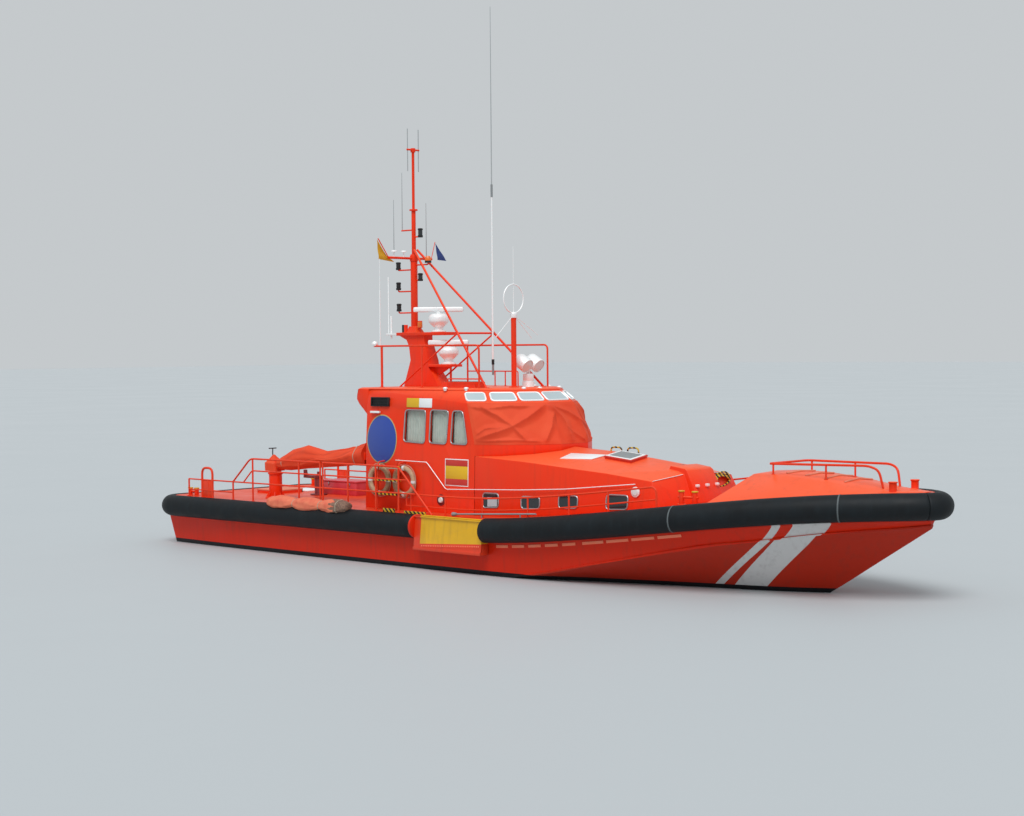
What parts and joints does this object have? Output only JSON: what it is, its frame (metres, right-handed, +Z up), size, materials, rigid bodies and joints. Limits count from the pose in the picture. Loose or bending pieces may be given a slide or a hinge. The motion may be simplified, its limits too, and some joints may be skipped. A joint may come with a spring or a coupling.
{
  "type": "fast rescue lifeboat",
  "caption": "Hard-chine fast rescue boat with foam fenders, forward wheelhouse, braced mast, deck crane, twin screws and rudders, afloat.",
  "frame": {"origin": "on the waterline amidships, on the centre line", "axes": "+X forward to the bow, +Y to port, +Z up"},
  "size_m": [21.65, 5.48, 14.3252],
  "materials": {
    "hull_paint": "glossy orange-red marine enamel on aluminium",
    "deck_paint": "matt faded red non-slip deck paint",
    "fender_rubber": "black foam fender skin, satin, weathered",
    "yellow_paint": "satin yellow paint",
    "window_glass": "tinted laminated glass",
    "crimson_paint": "glossy crimson paint",
    "orange_canvas": "faded orange PVC-coated canvas",
    "white_enamel": "white enamel",
    "dark_fittings": "dark grey satin paint",
    "steel": "stainless steel",
    "bronze": "propeller bronze",
    "ring_foam": "weathered pale foam ring buoy",
    "flag_cloth": "thin yellow flag cloth",
    "signal_cloth": "thin blue flag cloth"
  },
  "bodies": {
    "boat": {"hull": "hull_paint", "forecastle": "hull_paint", "fore_cabin": "hull_paint", "wheelhouse_walls": "hull_paint", "wheelhouse_roof": "hull_paint", "side_ladder_starboard": "hull_paint", "side_ladder_port": "hull_paint", "mast_column": "hull_paint", "mast_pole": "hull_paint", "mast_stays": "hull_paint", "loop_aerial": "hull_paint", "roof_rail_starboard": "hull_paint", "roof_rail_port": "hull_paint", "bow_rail": "hull_paint", "fore_rail_starboard": "hull_paint", "fore_rail_port": "hull_paint", "aft_rail_starboard": "hull_paint", "aft_rail_port": "hull_paint", "crane_pedestal": "hull_paint", "deck_locker": "crimson_paint", "tall_whip": "white_enamel", "fender_aft": "fender_rubber", "fender_fore_starboard": "fender_rubber", "fender_fore_port": "fender_rubber", "fender_bow_cap": "fender_rubber", "rescue_zone_starboard": "yellow_paint", "rescue_zone_port": "yellow_paint", "windscreen_glazing": "window_glass", "aft_glazing": "window_glass", "side_glazing_starboard": "window_glass", "side_glazing_port": "window_glass", "windscreen_cover": "orange_canvas", "rescue_net_roll": "orange_canvas", "radar_upper_pedestal": "white_enamel", "radar_lower_pedestal": "white_enamel", "helm_station": "dark_fittings", "tow_post": "dark_fittings", "shaft_line_starboard": "steel", "shaft_line_port": "steel", "life_rings_starboard": "ring_foam", "life_rings_port": "ring_foam", "stern_flag": "flag_cloth", "signal_flag": "signal_cloth"},
    "radar_upper_turner": {"radar_upper_scanner": "white_enamel"},
    "radar_lower_turner": {"radar_lower_scanner": "white_enamel"},
    "searchlight_pan": {"searchlight_yoke": "white_enamel"},
    "searchlight_tilt": {"searchlight_heads": "white_enamel"},
    "aft_door": {"aft_door": "hull_paint"},
    "crane_head": {"crane_head": "hull_paint"},
    "crane_boom": {"crane_boom": "hull_paint", "crane_boom_cover": "orange_canvas"},
    "deck_locker_lid": {"deck_locker_lid": "crimson_paint"},
    "tow_hook": {"tow_hook": "dark_fittings"},
    "cabin_hatch_lid": {"cabin_hatch_lid": "deck_paint"},
    "engine_hatch_lid": {"engine_hatch_lid": "deck_paint"},
    "screw_starboard": {"screw_starboard": "bronze"},
    "screw_port": {"screw_port": "bronze"},
    "rudder_starboard": {"rudder_starboard": "steel"},
    "rudder_port": {"rudder_port": "steel"}
  },
  "joints": [
    {"name": "radar_upper_turn", "type": "hinge", "parent": "boat", "child": "radar_upper_turner", "pos_m": [-3.02, 0, 5.85], "axis": [0, 0, 1], "continuous": true},
    {"name": "radar_lower_turn", "type": "hinge", "parent": "boat", "child": "radar_lower_turner", "pos_m": [-2.69, 0, 5.06], "axis": [0, 0, 1], "continuous": true},
    {"name": "searchlight_pan", "type": "hinge", "parent": "boat", "child": "searchlight_pan", "pos_m": [-0.62, 0.55, 4.16], "axis": [0, 0, 1], "range_deg": [-170, 170]},
    {"name": "searchlight_tilt", "type": "hinge", "parent": "searchlight_pan", "child": "searchlight_tilt", "pos_m": [-0.62, 0.55, 4.6], "axis": [0, -1, 0], "range_deg": [-10, 75]},
    {"name": "aft_door_hinge", "type": "hinge", "parent": "boat", "child": "aft_door", "pos_m": [-3.775, 0.238, 2.2], "axis": [0, 0, 1], "range_deg": [0, 110]},
    {"name": "crane_slew", "type": "hinge", "parent": "boat", "child": "crane_head", "pos_m": [-7.6, -1.3, 1.86], "axis": [0, 0, 1], "range_deg": [0, 230]},
    {"name": "crane_luff", "type": "hinge", "parent": "crane_head", "child": "crane_boom", "pos_m": [-7.47, -1.3, 2.07], "axis": [0, -1, 0], "range_deg": [0, 60]},
    {"name": "deck_locker_lid_hinge", "type": "hinge", "parent": "boat", "child": "deck_locker_lid", "pos_m": [-7, 0.95, 1.5408], "axis": [-1, 0, 0], "range_deg": [0, 100]},
    {"name": "tow_hook_swing", "type": "hinge", "parent": "boat", "child": "tow_hook", "pos_m": [-7.45, 0, 1.65], "axis": [0, 0, 1], "range_deg": [-75, 75]},
    {"name": "cabin_hatch_lid_hinge", "type": "hinge", "parent": "boat", "child": "cabin_hatch_lid", "pos_m": [2.68729, -0.36238, 2.63692], "axis": [-0.0164, -0.9864, -0.1636], "range_deg": [0, 100]},
    {"name": "engine_hatch_lid_hinge", "type": "hinge", "parent": "boat", "child": "engine_hatch_lid", "pos_m": [-8.58, 0, 1.2705], "axis": [0, 1, 0], "range_deg": [0, 95]},
    {"name": "screw_starboard_spin", "type": "hinge", "parent": "boat", "child": "screw_starboard", "pos_m": [-9.33, -1.1, -0.96], "axis": [0.9903, 0, 0.1386], "continuous": true},
    {"name": "screw_port_spin", "type": "hinge", "parent": "boat", "child": "screw_port", "pos_m": [-9.33, 1.1, -0.96], "axis": [0.9903, 0, 0.1386], "continuous": true},
    {"name": "rudder_starboard_turn", "type": "hinge", "parent": "boat", "child": "rudder_starboard", "pos_m": [-9.9, -1.1, -0.5], "axis": [0, 0, 1], "range_deg": [-35, 35]},
    {"name": "rudder_port_turn", "type": "hinge", "parent": "boat", "child": "rudder_port", "pos_m": [-9.9, 1.1, -0.5], "axis": [0, 0, 1], "range_deg": [-35, 35]}
  ],
  "couplings": [
    {"joint": "rudder_port_turn", "follows": "rudder_starboard_turn", "ratio": 1}
  ]
}
